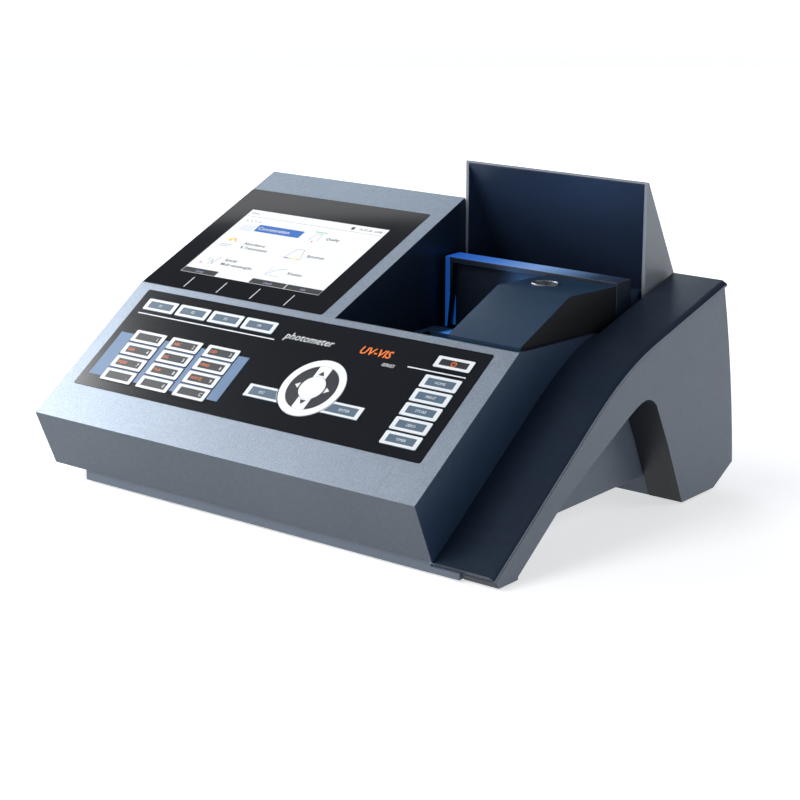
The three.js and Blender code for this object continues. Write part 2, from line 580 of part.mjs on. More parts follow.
function roundCellRing() {
  const { ringRadius, boreRadius } = CELL_PORT;
  const profile = [[boreRadius, -2], [ringRadius, -2], [ringRadius, 0.4], [ringRadius - 0.6, 1],
    [boreRadius + 0.8, 1], [boreRadius, 0.2], [boreRadius, -2]];
  const geometry = new THREE.LatheGeometry(profile.map(([r, z]) => new THREE.Vector2(r, z)), 32);
  geometry.rotateX(Math.PI / 2);
  geometry.translate(CELL_PORT.x, CELL_PORT.along, 0);
  geometry.applyMatrix4(blockTop);
  return solidOf(geometry);
}

function cellHolder() {
  const low = WELL_FLOOR[1] + GAP;
  const above = low + 2 * HOLDER.height;
  return cut(block(HOLDER.x, HOLDER.y, [low, low + HOLDER.height]), [
    block(HOLDER.slotX, HOLDER.slotY, [low + 2, above]),
    block(HOLDER.beamX, [HOLDER.y[0] - 1, HOLDER.slotY[0] - 0.5], [low + HOLDER.height / 2, above]),
  ]);
}

function cellCollar() {
  const { left, right, front, rear: back, top } = COLLAR;
  const low = WELL_FLOOR[1] + GAP;
  const window = COLLAR_WINDOW;
  const shape = shapeOf([
    [window.left, window.top], [window.right, window.top], [window.right, low - 1], [window.lowLeft, low - 1]]);
  const facing = new THREE.Matrix4().makeBasis(
    new THREE.Vector3(1, 0, 0), new THREE.Vector3(0, 0, 1), new THREE.Vector3(0, -1, 0)).setPosition(0, front, 0);
  return block([left, right], [front, back], [low, top])
    .subtract(onFace(facing, shape, -window.depth, 1));
}

// ---- Lid ----
function cellLid() {
  const outer = [LID_TIP_TOP, LID_CREST, LID_HEEL];
  const inner = offset(outer, WALL);
  const innerTip = crossing(inner[0], inner[1], LID_TIP, LID_RIM_END);
  const cover = [LID_TIP, ...outer, inner[2], inner[1], innerTip];
  const armFoot = [HINGE[0] + 3.4, HINGE[1] - 3];
  const side = [LID_TIP, ...outer, inner[2], LID_RIM_END, armFoot, [HINGE[0] - 3.4, HINGE[1] + 3],
    [96, heightOn([LID_TIP, LID_RIM_END], 96)]];
  const [left, right] = LID_SIDES;
  const walls = [[left, left + WALL], [right - WALL, right]];
  const solid = union([
    slab(cover, left, right),
    ...walls.map(([low, high]) => slab(side, low, high)),
    ...walls.map(([low, high]) => rod(HINGE, BOSS_RADIUS, low, high)),
  ]);
  return cut(solid, [rod(HINGE, PIN_RADIUS + GAP, left - 1, right + 1)]);
}

function hingePin(shank, head) {
  return rod(HINGE, PIN_RADIUS, ...shank).add(rod(HINGE, PIN_RADIUS + 1.8, ...head));
}

// ---- Inner assemblies ----
function mainBoard() {
  const { x, y, z } = BOARD_PLACE;
  const chips = [
    [[40, 62], [-20, 2], 4], [[80, 95], [-45, -30], 3], [[110, 150], [20, 50], 6],
    [[30, 50], [55, 75], 12], [[125, 137], [-55, -40], 3],
  ];
  return union([
    block(x, y, z),
    ...chips.map(([chipX, chipY, height]) => block(chipX, chipY, [z[1] - 0.5, z[1] + height])),
  ]);
}

function monochromatorHousing() {
  const low = BASE_PLATE[1] + GAP;
  const high = WELL_FLOOR[0] - GAP;
  const { x, y, beamX, beamZ, beamRadius } = MONOCHROMATOR;
  const alongY = new THREE.Matrix4().makeRotationX(-Math.PI / 2);
  return cut(block(x, y, [low, high]), [
    block([x[0] + WALL, x[1] - WALL], [y[0] + WALL, y[1] - WALL], [low - 1, high - WALL]),
    post([beamX, -beamZ], beamRadius, y[1] - WALL - 1, y[1] + 1, alongY),
  ]);
}

function lampModule() {
  const { x, y, z, fins, finPitch, finDepth } = LAMP;
  const finLeft = Array.from({ length: fins }, (_, i) => x[0] + 2 + i * finPitch);
  return union([
    block(x, y, z),
    ...finLeft.map((left) => block([left, left + 2], [y[1] - 1, y[1] + finDepth], [z[0] + 2, z[1] - 2])),
  ]);
}

function detectorModule() {
  const low = WELL_FLOOR[1] + GAP;
  const { x, y, flange, inset, height } = DETECTOR;
  return union([
    block(x, y, [low, low + flange]),
    block([x[0] + inset, x[1] - inset], [y[0] + inset, y[1] - inset], [low + flange - 1, low + height]),
  ]);
}

// ---- Assembly ----
const model = new THREE.Group();

function place(name, solid, finish, parent = model) {
  const mesh = new THREE.Mesh(geometryOf(solid), new THREE.MeshStandardMaterial(finish));
  mesh.name = name;
  parent.add(mesh);
}

const keys = keyShapes();
const port = Object.fromEntries(ports().map((entry) => [entry.name, entry]));

place('upper_housing', upperHousing(), BLUE_SILVER);
place('lower_housing', lowerHousing(), SLATE);
place('right_side_panel', rightSidePanel(), SLATE);
place('battery_cover', block(BATTERY.x, BATTERY.y, [BASE_PLATE[0], BASE_PLATE[0] + BATTERY.thickness]), SLATE);
footPlaces().forEach(([name, spot]) => place(name, post(spot, FOOT_PAD.radius, 0, FOOT_PAD.depth), RUBBER));

place('rear_panel', rearPanel(), GRAPHITE);
place('power_switch', powerSwitch(port.power_switch), BLACK);
place('power_inlet', powerInlet(port.power_inlet), BLACK);
place('usb_a_port', connector(port.usb_a_port, [12.4, 5], [11, 1.8, 0.9]), STEEL);
place('usb_b_port', connector(port.usb_b_port, [8.6, 7.8], [5.6, 3.2, 0]), STEEL);
place('lan_port', connector(port.lan_port, [12, 8], [11, 1.2, -3.2]), STEEL);

place('display_bezel', displayBezel(), GLASS_BLACK);
place('lcd_screen', lcdScreen(), SCREEN);
place('keypad_overlay', keypadOverlay(keys), BLACK);
place('keypad_board', keypadBoard(), BOARD);
keys.forEach(([left, right, low, high], name) => {
  const shape = roundedRectangle(left, right, low, high, KEY.radius);
  const finish = /key_(\d|point|clear|power)$/.test(name) ? KEY_DARK : KEY_BLUE;
  place(name, onFace(keyboard, shape, KEY.low, KEY.high, 2), finish);
});
place('key_escape', onFace(keyboard, sideKeyShape(-1, 0), KEY.low, KEY.high, 8), KEY_BLUE);
place('key_enter', onFace(keyboard, sideKeyShape(1, 0), KEY.low, KEY.high, 8), KEY_BLUE);
place('nav_ring', navRing(), WHITE);
place('nav_hub', post([NAV.x, keyboardLength - NAV.down], NAV.hub, NAV.low, KEY.high, keyboard, 40), WHITE);
['right', 'up', 'left', 'down'].forEach((name, i) => {
  const onBridge = i % 2 === 1;
  const shape = arrowShape(i * Math.PI / 2, onBridge);
  place(`key_${name}`, onFace(keyboard, shape, KEY.low, KEY.high, 10), onBridge ? WHITE : KEY_DARK);
});

place('compartment_floor', compartmentFloor(), LID_NAVY);
place('cell_block', cellBlock(), GRAPHITE);
place('round_cell_ring', roundCellRing(), STEEL);
place('cell_holder', cellHolder(), BLACK);
place('cell_collar', cellCollar(), LID_NAVY);
place('hinge_pin_left', hingePin([187, 197.9], [187, 189]), STEEL);
place('hinge_pin_right', hingePin([352.2, 366], [364, 366]), STEEL);

place('main_board', mainBoard(), BOARD);
place('monochromator_housing', monochromatorHousing(), CAST);
place('lamp_module', lampModule(), CAST);
place('detector_module', detectorModule(), CAST);

// The lid is drawn closed and stands open at rest, turned back about its hinge.
const lidPivot = new THREE.Group();
lidPivot.position.set(0, ...HINGE);
lidPivot.rotation.x = -LID_OPEN_ANGLE;
const lidClosed = new THREE.Group();
lidClosed.position.set(0, -HINGE[0], -HINGE[1]);
place('cell_lid', cellLid(), LID_NAVY, lidClosed);
lidPivot.add(lidClosed);
model.add(lidPivot);

// The origin is on the bench, at the middle of the footprint of the whole instrument.
const part = new THREE.Group();
part.add(model);
const bounds = new THREE.Box3().setFromObject(part, true);
model.position.set(-(bounds.min.x + bounds.max.x) / 2, -(bounds.min.y + bounds.max.y) / 2, -bounds.min.z);

export default part;
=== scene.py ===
"""Looks of the benchtop spectrophotometer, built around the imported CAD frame.

Lengths are in metres. Marks printed on a face are placed in millimetres
from that face's upper left corner.
"""
import json
import math

import bmesh
import bpy
from mathutils import Matrix, Quaternion, Vector


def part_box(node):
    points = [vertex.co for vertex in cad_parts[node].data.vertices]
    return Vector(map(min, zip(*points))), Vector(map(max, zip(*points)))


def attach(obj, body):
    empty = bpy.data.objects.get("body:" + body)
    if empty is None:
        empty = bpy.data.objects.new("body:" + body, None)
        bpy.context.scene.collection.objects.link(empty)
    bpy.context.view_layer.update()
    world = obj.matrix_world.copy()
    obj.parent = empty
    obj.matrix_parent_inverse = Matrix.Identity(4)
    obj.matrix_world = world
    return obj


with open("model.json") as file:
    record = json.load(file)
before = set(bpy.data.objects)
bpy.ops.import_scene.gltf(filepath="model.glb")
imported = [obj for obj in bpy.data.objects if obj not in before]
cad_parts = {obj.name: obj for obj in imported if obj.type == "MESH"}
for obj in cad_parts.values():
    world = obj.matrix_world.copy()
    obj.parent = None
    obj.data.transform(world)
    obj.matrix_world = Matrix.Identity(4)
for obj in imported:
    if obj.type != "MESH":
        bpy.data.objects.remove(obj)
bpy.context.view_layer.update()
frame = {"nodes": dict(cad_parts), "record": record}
NODES = frame["nodes"]
MM = 0.001


# ---------------------------------------------------------------- camera
CAMERA_AZIMUTH = math.radians(38.44)
CAMERA_ELEVATION = math.radians(15.58)
CAMERA_DISTANCE = 1.5582
CAMERA_TARGET = Vector((0.01286, -0.00733, 0.0642))
CAMERA_LENS = 95.7
CAMERA_SENSOR = 36
CAMERA_SEES = (0.05, 50)


def make_camera():
    data = bpy.data.cameras.new("camera")
    data.lens = CAMERA_LENS
    data.sensor_width = CAMERA_SENSOR
    data.clip_start, data.clip_end = CAMERA_SEES
    camera = bpy.data.objects.new("camera", data)
    bpy.context.scene.collection.objects.link(camera)
    back = Vector((
        math.sin(CAMERA_AZIMUTH) * math.cos(CAMERA_ELEVATION),
        -math.cos(CAMERA_AZIMUTH) * math.cos(CAMERA_ELEVATION),
        math.sin(CAMERA_ELEVATION),
    ))
    camera.location = CAMERA_TARGET + back * CAMERA_DISTANCE
    camera.rotation_mode = "QUATERNION"
    camera.rotation_quaternion = (-back).to_track_quat("-Z", "Y")
    bpy.context.scene.camera = camera


# ---------------------------------------------------------------- floor and light
FLOOR_HALF = 25
FLOOR_COLOR = (0.74, 0.74, 0.75)
FLOOR_GLOW = {"near": 0.6, "far": 1.0}
FLOOR_FADE = {"near": 1.8, "far": 4.6}

# How bright the sky is at each end of a span of directions, along one axis.
SKY_FADES = (
    {"axis": "Z", "span": (0.28, 0.62), "brightness": (1.0, 0.14)},
    {"axis": "X", "span": (-0.6, 0.9), "brightness": (1.1, 0.5)},
)
SKY_COLOR = (0.86, 0.93, 1)
WHITE = (1, 1, 1)
COOL_WHITE = (0.8, 0.9, 1)
LAMP_BLUE = (0.12, 0.42, 1)


def add_object(name, data):
    obj = bpy.data.objects.new(name, data)
    bpy.context.scene.collection.objects.link(obj)
    return obj


def make_floor():
    """A pale floor that is lit more towards the far end, as a curved studio backdrop is."""
    mesh = bpy.data.meshes.new("studio_floor")
    half = FLOOR_HALF
    corners = [(-half, -half, 0), (half, -half, 0), (half, half, 0), (-half, half, 0)]
    mesh.from_pydata(corners, [], [(0, 1, 2, 3)])
    floor = add_object("studio_floor", mesh)
    shader = Shader("studio_floor", 1.0)
    shader.surface.inputs["Base Color"].default_value = (*FLOOR_COLOR, 1)
    shader.surface.inputs["Specular IOR Level"].default_value = 0
    shader.surface.inputs["Emission Color"].default_value = (*WHITE, 1)
    away = shader.add("ShaderNodeVectorMath", Vector=shader.place)
    away.operation = "LENGTH"
    glow = shader.spread(away.outputs["Value"], FLOOR_GLOW["near"], FLOOR_GLOW["far"],
                         FLOOR_FADE["near"], FLOOR_FADE["far"])
    shader.links.new(glow, shader.surface.inputs["Emission Strength"])
    mesh.materials.append(shader.material)


def area_light(name, location, target, size, radiance, color=WHITE, roll=0):
    """A rectangular softbox, given how bright its face is, turned by roll degrees about its aim."""
    data = bpy.data.lights.new(name, "AREA")
    data.shape = "RECTANGLE"
    data.size, data.size_y = size
    data.energy = radiance * math.pi * size[0] * size[1]
    data.color = color
    light = add_object(name, data)
    light.location = location
    light.rotation_mode = "QUATERNION"
    aim = (Vector(target) - Vector(location)).to_track_quat("-Z", "Y")
    light.rotation_quaternion = aim @ Quaternion((0, 0, 1), math.radians(roll))
    light.visible_camera = False


def make_world():
    """A studio that is bright at the horizon and on the left, and dark overhead."""
    world = bpy.data.worlds.new("studio")
    bpy.context.scene.world = world
    world.use_nodes = True
    nodes, links = world.node_tree.nodes, world.node_tree.links
    way = nodes.new("ShaderNodeSeparateXYZ")
    links.new(nodes.new("ShaderNodeTexCoord").outputs["Generated"], way.inputs[0])
    factors = []
    for sky in SKY_FADES:
        fade = nodes.new("ShaderNodeMapRange")
        fade.interpolation_type = "SMOOTHSTEP"
        links.new(way.outputs[sky["axis"]], fade.inputs["Value"])
        for key, number in zip(RANGE_INPUTS, (*sky["span"], *sky["brightness"])):
            fade.inputs[key].default_value = number
        factors.append(fade.outputs["Result"])
    product = nodes.new("ShaderNodeMath")
    product.operation = "MULTIPLY"
    for socket, factor in zip(product.inputs, factors):
        links.new(factor, socket)
    background = nodes["Background"]
    background.inputs["Color"].default_value = (*SKY_COLOR, 1)
    links.new(product.outputs[0], background.inputs["Strength"])


def make_lights():
    bpy.context.scene.view_settings.view_transform = "Standard"
    make_world()
    middle = (0, 0, 0.1)
    area_light("key_box", (-0.65, -1.7, 1.6), middle, (1.2, 1.2), 5.9)
    area_light("left_box", (-1.8, -0.3, 1.1), middle, (1.1, 0.9), 8.0)
    area_light("low_box", (-0.8, -0.72, 0.3), (-0.1, -0.15, 0.1), (0.3, 0.3), 8.0)
    area_light("rear_left_box", (-1.5, 1.7, 0.9), middle, (1.2, 0.8), 5.6, COOL_WHITE)
    area_light("right_box", (1.5, 0.8, 1.3), (0.1, 0, 0.15), (0.9, 0.9), 2.0)
    # This one is what the top of the display glass reflects.
    area_light("display_box", (-1.5, 1.01, 1.367), (0, 0.05, 0.2), (0.5, 1.0), 1.0, roll=52)
    # The lamp in the cell compartment stays under the closed lid.
    area_light("well_glow", (0.03, 0.03, 0.13), (0.1, 0.02, 0.12), (0.03, 0.03), 8.0, LAMP_BLUE)


# ---------------------------------------------------------------- material building blocks
RANGE_INPUTS = ("From Min", "From Max", "To Min", "To Max")
MIX_FACTOR, MIX_COLORS, MIX_RESULT = 0, (6, 7), 2    # the colour sockets of a Mix node


class Shader:
    """A Principled material whose procedural inputs are added one by one.

    where is the place on the object, and facing is the direction that the surface faces, both in
    the node's own axes, so that they turn with a moving part.
    """

    def __init__(self, name, roughness, metallic=0.0):
        self.material = bpy.data.materials.new(name)
        self.material.use_nodes = True
        self.nodes = self.material.node_tree.nodes
        self.links = self.material.node_tree.links
        self.surface = self.nodes["Principled BSDF"]
        self.surface.inputs["Roughness"].default_value = roughness
        self.surface.inputs["Metallic"].default_value = metallic
        coordinates = self.nodes.new("ShaderNodeTexCoord").outputs
        self.place = coordinates["Object"]
        self.where = self.add("ShaderNodeSeparateXYZ", Vector=self.place).outputs
        self.facing = self.add("ShaderNodeSeparateXYZ", Vector=coordinates["Normal"]).outputs

    def add(self, kind, **inputs):
        node = self.nodes.new(kind)
        for key, value in inputs.items():
            socket = node.inputs[key]
            if isinstance(value, bpy.types.NodeSocket):
                self.links.new(value, socket)
            else:
                socket.default_value = value
        return node

    def noise(self, scale, detail):
        node = self.add("ShaderNodeTexNoise", Vector=self.place, Scale=scale, Detail=detail)
        return node.outputs["Fac"]

    def speckle(self, scale):
        return self.add("ShaderNodeTexVoronoi", Vector=self.place, Scale=scale).outputs["Color"]

    def spread(self, value, low, high, from_low=0.3, from_high=0.7):
        """The value, stretched to run from low to high."""
        node = self.add("ShaderNodeMapRange")
        self.links.new(value, node.inputs["Value"])
        for key, number in zip(RANGE_INPUTS, (from_low, from_high, low, high)):
            node.inputs[key].default_value = number
        return node.outputs["Result"]

    def math(self, operation, first, second=0.0):
        node = self.nodes.new("ShaderNodeMath")
        node.operation = operation
        for socket, value in zip(node.inputs, (first, second)):
            if isinstance(value, bpy.types.NodeSocket):
                self.links.new(value, socket)
            else:
                socket.default_value = value
        return node.outputs[0]

    def below(self, value, limit):
        return self.math("LESS_THAN", value, limit)

    def above(self, value, limit):
        return self.math("GREATER_THAN", value, limit)

    def both(self, first, *others):
        for other in others:
            first = self.math("MULTIPLY", first, other)
        return first

    def either(self, first, *others):
        for other in others:
            first = self.math("MAXIMUM", first, other)
        return first

    def mix(self, factor, first, second):
        """A colour between first and second; either may be a colour or another node's output."""
        node = self.nodes.new("ShaderNodeMix")
        node.data_type = "RGBA"
        self.links.new(factor, node.inputs[MIX_FACTOR])
        for index, value in zip(MIX_COLORS, (first, second)):
            if isinstance(value, bpy.types.NodeSocket):
                self.links.new(value, node.inputs[index])
            else:
                node.inputs[index].default_value = (*value, 1)
        return node.outputs[MIX_RESULT]

    def color(self, value):
        self.links.new(value, self.surface.inputs["Base Color"])

    def roughness(self, value):
        self.links.new(value, self.surface.inputs["Roughness"])

    def bump(self, height, strength, distance=0.0003):
        node = self.add("ShaderNodeBump", Strength=strength, Distance=distance, Height=height)
        self.links.new(node.outputs["Normal"], self.surface.inputs["Normal"])

    def skin(self, grain, grain_strength, roughness, patches=None):
        """The fine grain of moulded plastic, over larger patches where the roughness drifts."""
        self.roughness(self.spread(self.noise(patches or grain / 4, 2), *roughness))
        self.bump(self.noise(grain, 3), grain_strength)


def scaled(color, factor):
    return tuple(channel * factor for channel in color)


# ---------------------------------------------------------------- materials
SILVER_BLUE = (0.30, 0.345, 0.415)
# Slate in painted shade: the dark blue of the shell's deck and wedge and of the side panel's
# flange.
PAINTED_SHADE_BLUE = (0.008, 0.017, 0.035)
SLATE = (0.092, 0.115, 0.15)
# The navy lid, painted a lit grey outside, and inside its navy with painted blue light.
LID_OUTSIDE_PAINTED_LIGHT = (0.2, 0.22, 0.25)
LID_INSIDE_NAVY_AND_PAINTED_LIGHT = (0.013, 0.025, 0.055)
NAVY = (0.006, 0.012, 0.026)
# The graphite block, with painted blue light on its top and painted shade on its side.
BLOCK_TOP_PAINTED_BLUE_LIGHT = (0.008, 0.03, 0.068)
BLOCK_SIDE_PAINTED_SHADE = (0.005, 0.006, 0.008)
BLACK = (0, 0, 0)
# The painted blue light down the collar's left post.
POST_PAINTED_LIGHT = (0.004, 0.06, 0.27)

# The painted blue light along the collar's top, from its left end (0) to its right end (1).
COLLAR_PAINTED_LIGHT = (
    (0, (0.015, 0.10, 0.50)), (0.25, (0.05, 0.19, 0.62)), (0.52, (0.22, 0.38, 0.72)),
    (0.7, (0.10, 0.19, 0.36)), (0.86, (0.02, 0.035, 0.065)), (1, (0.008, 0.014, 0.03)),
)
COLLAR_PAINTED_LIGHT_STRENGTH = 0.85
POST_WIDTH = 0.0045
LID_WALL = 0.0028
WEDGE_WALL_ZONE = 0.05
RIM_ZONE = 0.015

# How much darker or lighter than its base colour a paint or plastic is painted in one place:
# painted shade where darker, painted light where lighter.
APRON_PAINTED_SHADE = 0.27
WEDGE_WALL_PAINTED_LIGHT = 1.9
FLANGE_PAINTED_SHADE = 0.25
PAINT_METALLIC = 0.6
PAINT_SPECULAR_TINT = (0.84, 0.93, 1)


def painted(shader, color, sparkle=0.3):
    """Metallic paint: fine flakes and a slow drift in tone."""
    flakes = shader.spread(shader.speckle(2600), 1 - sparkle, 1 + sparkle, 0, 1)
    drift = shader.spread(shader.noise(9, 2), 0.95, 1.05)
    tone = shader.nodes.new("ShaderNodeVectorMath")
    tone.operation = "SCALE"
    tone.inputs[0].default_value = color
    shader.links.new(shader.math("MULTIPLY", flakes, drift), tone.inputs["Scale"])
    return tone.outputs[0]


def textured(shader, color, amount=0.035):
    """Moulded plastic: the colour drifts slightly."""
    drift = shader.spread(shader.noise(60, 4), 0, 1)
    return shader.mix(drift, scaled(color, 1 - amount), scaled(color, 1 + amount))


def housing_material():
    """The shell: silver-blue paint where it looks forward, with painted shade on the apron that
    faces straight forward; slate on the left, the rear and the right rim; and on the rest painted
    shade, a dark blue in place of the slate, lighter with painted light on the wedge's right wall."""
    shader = Shader("housing_paint", 0.4)
    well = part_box("compartment_floor")[0]
    well_left, crease = well.x - 0.0003, well.y - 0.0005
    wedge_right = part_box("cell_lid")[1].x - 0.0008
    rim_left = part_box("upper_housing")[1].x - RIM_ZONE
    x, y = shader.where["X"], shader.where["Y"]

    forward = shader.below(shader.facing["Y"], -0.3)
    straight_forward = shader.below(shader.facing["Y"], -0.8)
    backward = shader.above(shader.facing["Y"], 0.3)
    leftward = shader.below(shader.facing["X"], -0.7)
    rightward = shader.above(shader.facing["X"], 0.6)

    outside_well = shader.either(shader.below(x, well_left), shader.below(y, crease))
    silver = shader.both(forward, shader.below(x, wedge_right), outside_well)
    wedge_wall = shader.both(rightward, shader.above(x, wedge_right - WEDGE_WALL_ZONE))
    rim = shader.both(rightward, shader.above(x, rim_left))
    # The rest of the shell gets painted shade, a dark blue in place of its slate; the wedge's right
    # wall gets a lighter copy of it as painted light.
    dark = shader.mix(wedge_wall, textured(shader, PAINTED_SHADE_BLUE),
                      textured(shader, scaled(PAINTED_SHADE_BLUE, WEDGE_WALL_PAINTED_LIGHT)))
    plain = shader.mix(shader.either(leftward, backward, rim), dark, textured(shader, SLATE))
    # The apron, which faces straight forward, gets painted shade: the same silver paint, darker.
    paint = shader.mix(straight_forward, painted(shader, SILVER_BLUE),
                       painted(shader, scaled(SILVER_BLUE, APRON_PAINTED_SHADE)))
    shader.color(shader.mix(silver, plain, paint))
    metallic = shader.math("MULTIPLY", silver, PAINT_METALLIC)
    shader.links.new(metallic, shader.surface.inputs["Metallic"])
    shader.surface.inputs["Specular Tint"].default_value = (*PAINT_SPECULAR_TINT, 1)
    shader.roughness(shader.spread(shader.noise(240, 2), 0.36, 0.44))
    shader.bump(shader.noise(1500, 2), 0.05)
    return shader.material


def lid_material():
    """Navy plastic: painted light makes it grey outside and on the rim; inside it is dark navy,
    made lighter and bluer with painted blue light.
    """
    shader = Shader("lid_plastic", 0.4)
    low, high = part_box("cell_lid")
    x, forward = shader.where["X"], shader.facing["Y"]
    inner_cover = shader.both(shader.below(forward, -0.5), shader.above(forward, -0.985))
    sideways = shader.above(shader.math("ABSOLUTE", shader.facing["X"]), 0.7)
    between_walls = shader.both(shader.above(x, low.x + LID_WALL),
                                shader.below(x, high.x - LID_WALL))
    # Painted light outside the walls; inside them, navy with painted blue light.
    inside = shader.both(shader.either(inner_cover, sideways), between_walls)
    shader.color(shader.mix(inside, textured(shader, LID_OUTSIDE_PAINTED_LIGHT), textured(shader, LID_INSIDE_NAVY_AND_PAINTED_LIGHT)))
    shader.skin(1400, 0.06, (0.36, 0.46), patches=300)
    return shader.material


def side_panel_material():
    """Slate plastic, with painted shade, much darker, on the flange under its arch."""
    shader = Shader("side_panel_plastic", 0.42)
    edge = shader.below(shader.math("ABSOLUTE", shader.facing["X"]), 0.5)
    # The flange under the arch gets painted shade.
    flange = shader.both(edge, shader.below(shader.facing["Z"], 0.3))
    shader.color(shader.mix(flange, textured(shader, SLATE),
                            textured(shader, scaled(PAINTED_SHADE_BLUE, FLANGE_PAINTED_SHADE))))
    shader.skin(1300, 0.08, (0.38, 0.47))
    return shader.material


def block_material():
    """Graphite plastic, with painted blue light where it faces up and painted shade, nearly black,
    on its side.
    """
    shader = Shader("graphite_plastic", 0.5)
    shader.surface.inputs["Specular IOR Level"].default_value = 0.22
    # Painted blue light on the top and slope; painted shade on the side that faces right.
    side = shader.above(shader.facing["X"], 0.6)
    shader.color(shader.mix(side, textured(shader, BLOCK_TOP_PAINTED_BLUE_LIGHT, amount=0.08),
                            textured(shader, BLOCK_SIDE_PAINTED_SHADE, amount=0.08)))
    shader.skin(2200, 0.35, (0.46, 0.55))
    return shader.material


def collar_material():
    """Navy plastic, with painted blue light, an emission, along its top and down its left post."""
    shader = Shader("lit_collar", 0.35)
    low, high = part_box("cell_collar")
    along = shader.spread(shader.where["X"], 0, 1, low.x, high.x)
    ramp = shader.add("ShaderNodeValToRGB", Fac=along)
    stops = ramp.color_ramp.elements
    stops.remove(stops[1])
    stops[0].color = (*COLLAR_PAINTED_LIGHT[0][1], 1)
    for position, color in COLLAR_PAINTED_LIGHT[1:]:
        stops.new(position).color = (*color, 1)
    upward = shader.above(shader.facing["Z"], 0.6)
    post = shader.both(shader.below(shader.where["X"], low.x + POST_WIDTH),
                       shader.below(shader.facing["Y"], -0.6))
    # Emission that paints the blue light falling on the collar's top and its left post.
    glow = shader.mix(upward, shader.mix(post, BLACK, POST_PAINTED_LIGHT), ramp.outputs["Color"])
    shader.links.new(glow, shader.surface.inputs["Emission Color"])
    shader.surface.inputs["Emission Strength"].default_value = COLLAR_PAINTED_LIGHT_STRENGTH
    shader.color(textured(shader, NAVY))
    shader.roughness(shader.spread(shader.noise(400, 2), 0.3, 0.42))
    shader.bump(shader.noise(1400, 2), 0.05)
    return shader.material


def plastic(name, color, roughness, grain, grain_strength, metallic=0.0):
    """A plain moulded or coated surface in one colour."""
    shader = Shader(name, roughness, metallic)
    shader.color(textured(shader, color))
    shader.skin(grain, grain_strength, (roughness * 0.93, roughness * 1.08))
    return shader.material


def brushed(name, color, roughness=0.28):
    """Bright metal, with streaks of tone and sheen."""
    shader = Shader(name, roughness, metallic=1.0)
    shader.color(shader.mix(shader.spread(shader.noise(300, 3), 0, 1), scaled(color, 0.82), color))
    shader.roughness(shader.spread(shader.noise(900, 2), roughness - 0.08, roughness + 0.1))
    shader.bump(shader.noise(1600, 2), 0.08, distance=0.0001)
    return shader.material


def glowing(name, color, strength, base=0.6):
    """A lit surface with a faint unevenness, as a backlight has."""
    shader = Shader(name, 0.35)
    shader.surface.inputs["Base Color"].default_value = (*scaled(color, base), 1)
    uneven = shader.mix(shader.spread(shader.noise(18, 2), 0, 1), scaled(color, 0.95), color)
    shader.links.new(uneven, shader.surface.inputs["Emission Color"])
    shader.surface.inputs["Emission Strength"].default_value = strength
    shader.bump(shader.noise(2500, 2), 0.02, distance=0.0001)
    return shader.material


def make_materials():
    """Every finish, by the name of its material slot, CAD node or ink."""
    return {
        "housing_blue": housing_material(),
        "housing_slate": plastic("slate_plastic", SLATE, 0.42, 1300, 0.08),
        "overlay_black": plastic("keypad_foil", (0.006, 0.007, 0.01), 0.15, 1800, 0.008),
        "glass_black": plastic("display_glass", (0.005, 0.005, 0.008), 0.06, 300, 0.002),
        "screen": glowing("display_backlight", (0.95, 0.98, 1.0), 0.78, 0.2),
        "key_white": plastic("key_white", (0.84, 0.86, 0.89), 0.4, 1500, 0.04),
        "key_blue": plastic("key_blue", (0.075, 0.125, 0.18), 0.4, 1500, 0.05),
        "key_dark": plastic("key_dark", (0.018, 0.02, 0.026), 0.35, 1500, 0.05),
        "lid_navy": plastic("navy_plastic", NAVY, 0.38, 1400, 0.06),
        "block_graphite": block_material(),
        "steel": brushed("bright_steel", (0.62, 0.64, 0.67)),
        "rubber_foot": plastic("foot_rubber", (0.01, 0.01, 0.011), 0.85, 1500, 0.3),
        "circuit_board": plastic("board_green", (0.015, 0.09, 0.045), 0.45, 700, 0.15),
        "cast_metal": plastic("cast_metal", (0.4, 0.42, 0.44), 0.5, 1200, 0.3, metallic=0.9),
        "cell_lid": lid_material(),
        "right_side_panel": side_panel_material(),
        "cell_collar": collar_material(),
        "rear_panel": plastic("panel_graphite", (0.03, 0.033, 0.04), 0.5, 1800, 0.25),
        "ink_white": plastic("ink_white", (0.74, 0.76, 0.79), 0.45, 1500, 0.03),
        "ink_orange": plastic("ink_orange", (0.9, 0.2, 0.015), 0.45, 1500, 0.03),
        "ink_grey": plastic("ink_grey", (0.12, 0.125, 0.14), 0.45, 1500, 0.03),
        "ink_dark": plastic("ink_dark", (0.02, 0.022, 0.026), 0.4, 1500, 0.03),
        "strip_blue": plastic("strip_blue", (0.115, 0.2, 0.34), 0.4, 1500, 0.03),
        "screen_blue": glowing("screen_blue", (0.0, 0.12, 0.5), 0.85, 0.2),
        "screen_black": plastic("screen_black", (0.012, 0.012, 0.014), 0.3, 1500, 0.01),
        "screen_grey": glowing("screen_grey", (0.25, 0.27, 0.31), 0.5),
        "screen_pale": glowing("screen_pale", (0.4, 0.43, 0.66), 0.7, 0.3),
        "screen_green": glowing("screen_green", (0.25, 0.62, 0.25), 0.5),
        "screen_orange": glowing("screen_orange", (0.95, 0.36, 0.03), 0.5),
        "screen_yellow": glowing("screen_yellow", (0.95, 0.75, 0.08), 0.5),
        "screen_red": glowing("screen_red", (0.85, 0.04, 0.02), 0.5),
        "screen_violet": glowing("screen_violet", (0.16, 0.02, 0.3), 0.5),
    }


